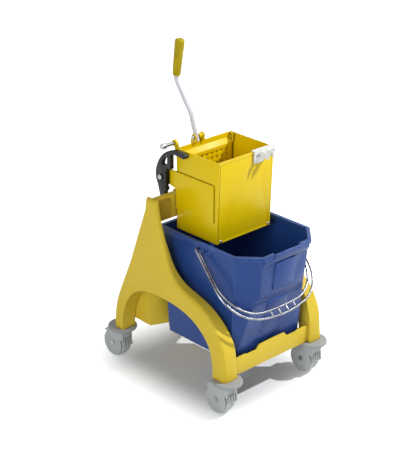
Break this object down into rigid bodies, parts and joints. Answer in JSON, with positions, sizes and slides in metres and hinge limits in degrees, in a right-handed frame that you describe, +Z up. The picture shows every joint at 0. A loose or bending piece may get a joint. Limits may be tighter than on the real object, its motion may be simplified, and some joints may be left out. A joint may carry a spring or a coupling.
{
  "type": "mop bucket trolley with wringer",
  "caption": "Wheeled mop bucket trolley: arched side panels, tapered bucket with wire bail, sheet-metal lever wringer with perforated jaw and a mop-handle clip.",
  "frame": {"origin": "on the floor, midway between the four casters' swivel axes", "axes": "+X to the right seen from the bail's side, -Y towards the bail and pouring lip, +Z up"},
  "size_m": [0.406, 0.546, 0.9231],
  "materials": {
    "frame_yellow": "satin moulded",
    "bucket_blue": "satin moulded",
    "chrome_wire": "bright plated",
    "wringer_yellow": "gloss powder coat",
    "zinc_steel": "zinc plated",
    "clip_white": "gloss",
    "lever_grey": "light grey coated tube",
    "grip_yellow": "gloss",
    "arm_black": "satin",
    "disc_grey": "soft",
    "caster_grey": "satin moulded",
    "tyre_grey": "soft grey tread"
  },
  "bodies": {
    "frame": {"side_panel_left": "frame_yellow", "side_panel_right": "frame_yellow", "rear_crossbar": "frame_yellow", "crossbar_cover_left": "frame_yellow", "crossbar_cover_right": "frame_yellow", "lower_rear_box": "frame_yellow", "front_crossbar": "frame_yellow", "bucket": "bucket_blue", "bumper_disc_front_left": "disc_grey", "caster_stem_front_left": "zinc_steel", "bumper_disc_front_right": "disc_grey", "caster_stem_front_right": "zinc_steel", "bumper_disc_rear_left": "disc_grey", "caster_stem_rear_left": "zinc_steel", "bumper_disc_rear_right": "disc_grey", "caster_stem_rear_right": "zinc_steel"},
    "bail": {"bail_outer_wire": "chrome_wire", "bail_inner_wire": "chrome_wire", "bail_rungs": "chrome_wire"},
    "wringer": {"wringer_casing": "wringer_yellow", "wringer_front_panel": "wringer_yellow", "front_panel_rivets": "zinc_steel", "wringer_side_plate_left": "wringer_yellow", "wringer_side_plate_right": "wringer_yellow", "wringer_hook_left": "wringer_yellow", "wringer_hook_right": "wringer_yellow", "jaw_hinge_pin_left": "zinc_steel", "jaw_hinge_pin_right": "zinc_steel", "wringer_guide_pin": "zinc_steel", "mop_handle_clip": "clip_white", "clip_screws": "zinc_steel", "arm_bolt_left": "zinc_steel"},
    "press": {"jaw_plate": "wringer_yellow", "lever_lug": "wringer_yellow", "lever_bolt": "zinc_steel", "lever_nut": "zinc_steel", "lever_tube": "lever_grey", "lever_grip": "grip_yellow"},
    "arm_left": {"side_arm_left": "arm_black"},
    "caster_front_left": {"caster_fork_front_left": "caster_grey", "axle_front_left": "zinc_steel"},
    "wheel_front_left": {"wheel_hub_front_left": "caster_grey", "tyre_front_left": "tyre_grey"},
    "caster_front_right": {"caster_fork_front_right": "caster_grey", "axle_front_right": "zinc_steel"},
    "wheel_front_right": {"wheel_hub_front_right": "caster_grey", "tyre_front_right": "tyre_grey"},
    "caster_rear_left": {"caster_fork_rear_left": "caster_grey", "axle_rear_left": "zinc_steel"},
    "wheel_rear_left": {"wheel_hub_rear_left": "caster_grey", "tyre_rear_left": "tyre_grey"},
    "caster_rear_right": {"caster_fork_rear_right": "caster_grey", "axle_rear_right": "zinc_steel"},
    "wheel_rear_right": {"wheel_hub_rear_right": "caster_grey", "tyre_rear_right": "tyre_grey"}
  },
  "joints": [
    {"name": "bail_swing", "type": "hinge", "parent": "frame", "child": "bail", "pos_m": [0, -0.079, 0.427], "axis": [-1, 0, 0], "range_deg": [0, 105]},
    {"name": "wringer_lift", "type": "slide", "parent": "frame", "child": "wringer", "axis": [0, 0, 1], "range_m": [0, 0.06]},
    {"name": "lever_press", "type": "hinge", "parent": "wringer", "child": "press", "pos_m": [0, 0.043, 0.645], "axis": [-1, 0, 0], "range_deg": [0, 40]},
    {"name": "arm_left_swing", "type": "hinge", "parent": "wringer", "child": "arm_left", "pos_m": [-0.11, 0.092, 0.57], "axis": [1, 0, 0], "range_deg": [0, 25]},
    {"name": "swivel_front_left", "type": "hinge", "parent": "frame", "child": "caster_front_left", "pos_m": [-0.162, -0.212, 0.085], "axis": [0, 0, 1], "continuous": true},
    {"name": "spin_front_left", "type": "hinge", "parent": "caster_front_left", "child": "wheel_front_left", "pos_m": [-0.162, -0.187, 0.04], "axis": [1, 0, 0], "continuous": true},
    {"name": "swivel_front_right", "type": "hinge", "parent": "frame", "child": "caster_front_right", "pos_m": [0.162, -0.212, 0.085], "axis": [0, 0, 1], "continuous": true},
    {"name": "spin_front_right", "type": "hinge", "parent": "caster_front_right", "child": "wheel_front_right", "pos_m": [0.162, -0.187, 0.04], "axis": [1, 0, 0], "continuous": true},
    {"name": "swivel_rear_left", "type": "hinge", "parent": "frame", "child": "caster_rear_left", "pos_m": [-0.162, 0.212, 0.085], "axis": [0, 0, 1], "continuous": true},
    {"name": "spin_rear_left", "type": "hinge", "parent": "caster_rear_left", "child": "wheel_rear_left", "pos_m": [-0.162, 0.237, 0.04], "axis": [1, 0, 0], "continuous": true},
    {"name": "swivel_rear_right", "type": "hinge", "parent": "frame", "child": "caster_rear_right", "pos_m": [0.162, 0.212, 0.085], "axis": [0, 0, 1], "continuous": true},
    {"name": "spin_rear_right", "type": "hinge", "parent": "caster_rear_right", "child": "wheel_rear_right", "pos_m": [0.162, 0.237, 0.04], "axis": [1, 0, 0], "continuous": true}
  ]
}
